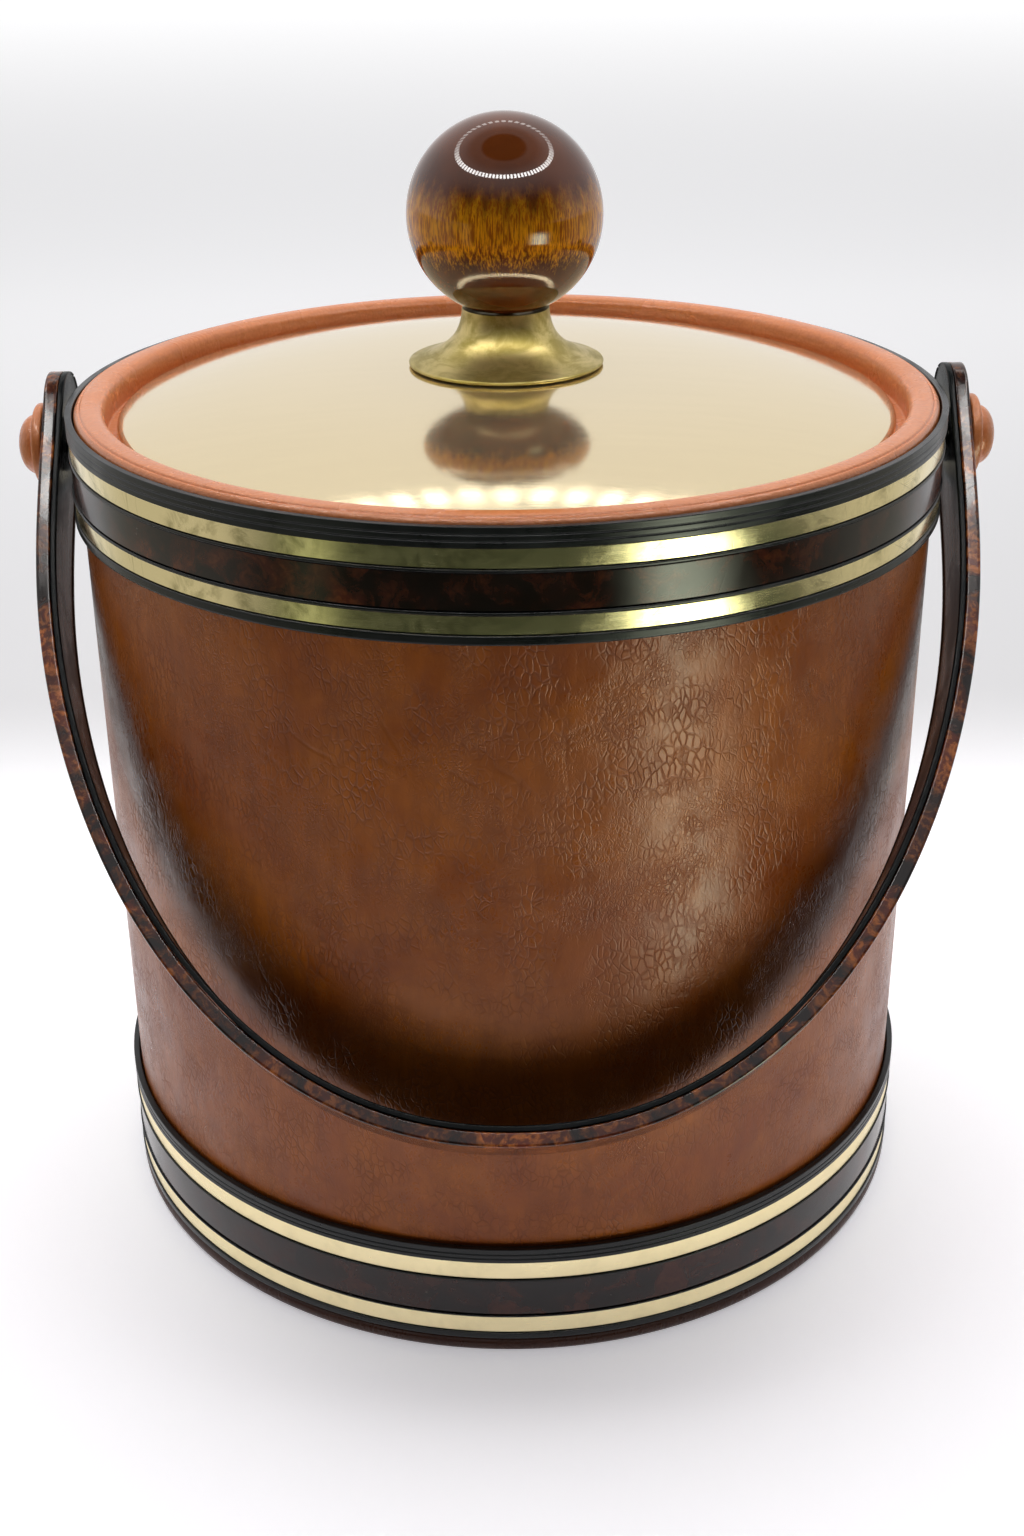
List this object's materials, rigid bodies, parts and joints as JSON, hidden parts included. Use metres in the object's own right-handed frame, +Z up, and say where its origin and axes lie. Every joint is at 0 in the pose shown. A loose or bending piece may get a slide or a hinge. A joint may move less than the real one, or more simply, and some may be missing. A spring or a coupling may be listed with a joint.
{
  "type": "insulated ice bucket",
  "caption": "Vinyl-covered insulated ice bucket with trim bands, a domed metal lid with a ball knob, and a swing bail handle.",
  "frame": {"origin": "centre of the base, on the surface that the bucket stands on", "axes": "+Z up through the knob; the bail swings about X; -Y is the front, where the bail hangs at rest; -X is the left side seen from the front"},
  "size_m": [0.2158, 0.2053, 0.2457],
  "materials": {
    "vinyl": "glossy antique brown leather-look vinyl with fine creases",
    "board": "plain fibreboard",
    "base_paper": "black matte paper",
    "foam": "white bead foam",
    "tan_plastic": "satin tan moulded plastic with a faint leather grain",
    "black_plastic": "black moulded plastic",
    "gold_foil": "bright gold metallised strip with fine scratches",
    "tortoise_strip": "glossy dark tortoiseshell mottled plastic",
    "gold_metal": "satin champagne gold anodised, finely brushed",
    "aged_brass": "turned brass with a green-brown patina",
    "tiger_eye": "glossy tiger-eye, dark brown with an amber fibrous band",
    "steel": "zinc-plated",
    "tortoise": "glossy tortoiseshell with amber patches"
  },
  "bodies": {
    "bucket": {"outer_tube": "board", "vinyl_cover": "vinyl", "base_board": "board", "base_cover_disc": "base_paper", "insulation_disc": "foam", "insulation_sleeve": "foam", "inner_liner": "tan_plastic", "upper_band_carrier": "black_plastic", "upper_gold_strip_low": "gold_foil", "upper_tortoise_strip": "tortoise_strip", "upper_gold_strip_high": "gold_foil", "lower_band_carrier": "black_plastic", "lower_gold_strip_low": "gold_foil", "lower_dark_strip": "tortoise_strip", "lower_gold_strip_high": "gold_foil", "pivot_stud_left": "steel", "stud_nut_left": "steel", "backing_washer_left": "steel", "spacer_washer_left": "black_plastic", "pivot_button_left": "tan_plastic", "pivot_stud_right": "steel", "stud_nut_right": "steel", "backing_washer_right": "steel", "spacer_washer_right": "black_plastic", "pivot_button_right": "tan_plastic"},
    "bail": {"handle_strap": "tortoise", "handle_lining": "black_plastic"},
    "lid": {"lid_disc": "gold_metal", "lid_tray": "tan_plastic", "lid_foam": "foam", "knob_ferrule": "aged_brass", "knob_ball": "tiger_eye", "knob_washer": "steel", "knob_screw": "steel"}
  },
  "joints": [
    {"name": "bail_swing", "type": "hinge", "parent": "bucket", "child": "bail", "pos_m": [0, 0, 0.176], "axis": [-1, 0, 0], "range_deg": [0, 276.6]},
    {"name": "lid_lift", "type": "slide", "parent": "bucket", "child": "lid", "axis": [0, 0, 1], "range_m": [0, 0.06]}
  ]
}
